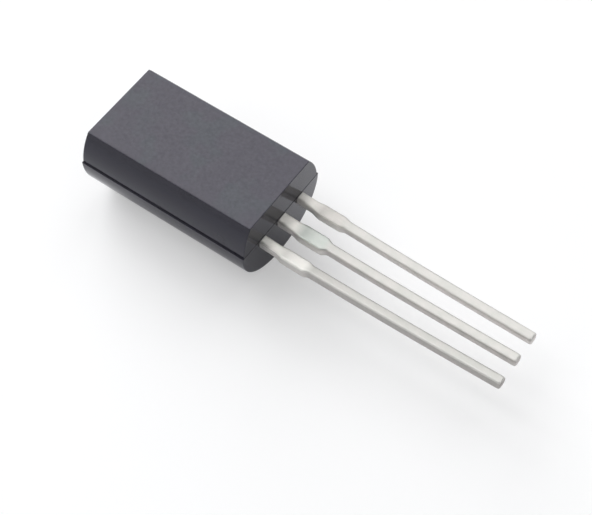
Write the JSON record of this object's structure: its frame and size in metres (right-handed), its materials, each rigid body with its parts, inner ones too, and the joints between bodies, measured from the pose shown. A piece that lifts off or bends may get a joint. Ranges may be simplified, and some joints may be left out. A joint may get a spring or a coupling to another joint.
{
  "type": "long-body to-92 transistor",
  "caption": "Plastic through-hole transistor with a flat front, a round back and flat tin-plated leads from one end wall, lying on its round back.",
  "frame": {"origin": "middle of the footprint, on the surface that the round back rests on", "axes": "+X along the leads towards their tips, +Y from the emitter lead to the base lead, +Z out of the flat front face"},
  "size_m": [0.019, 0.005, 0.0041],
  "materials": {
    "resin": "moulded black epoxy with a fine matte grain",
    "tin_plate": "dull electroplated tin",
    "solder": "dull solder",
    "silicon": "polished silicon",
    "bond_wire": "bright drawn gold wire"
  },
  "bodies": {
    "root": {"body": "resin", "lead_emitter": "tin_plate", "lead_collector": "tin_plate", "lead_base": "tin_plate", "die_solder": "solder", "die": "silicon", "wire_emitter": "bond_wire", "wire_base": "bond_wire"}
  },
  "joints": []
}
